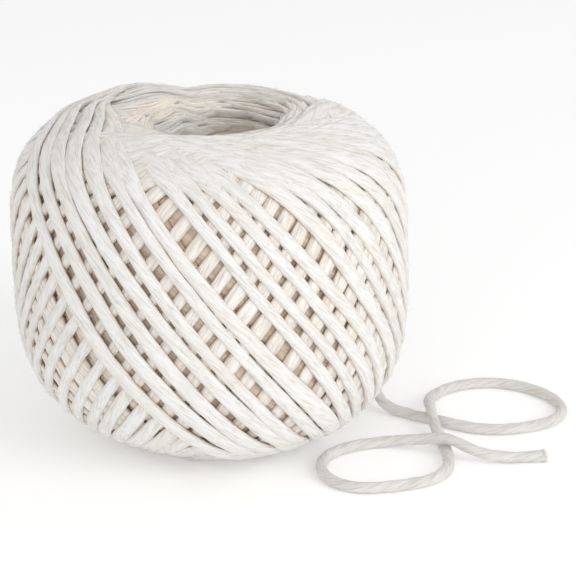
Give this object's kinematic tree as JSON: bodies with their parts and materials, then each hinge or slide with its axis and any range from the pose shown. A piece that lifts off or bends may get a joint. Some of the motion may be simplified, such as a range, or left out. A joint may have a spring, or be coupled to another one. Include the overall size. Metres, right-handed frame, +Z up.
{
  "type": "ball of string",
  "caption": "Wound ball of cotton string with crossing turns, an open hole along its axis and its outer end lying loose in two loops.",
  "frame": {"origin": "on the surface the ball stands on, under the middle of the ball without its loose end", "axes": "+Z up along the winding axis; the loose end lies on the +X side, and the front of the ball faces -Y"},
  "size_m": [0.1213, 0.087, 0.071],
  "materials": {
    "cotton_string": "matt natural white cotton, softly twisted"
  },
  "bodies": {
    "root": {"string_ball": "cotton_string", "loose_end": "cotton_string"}
  },
  "joints": []
}
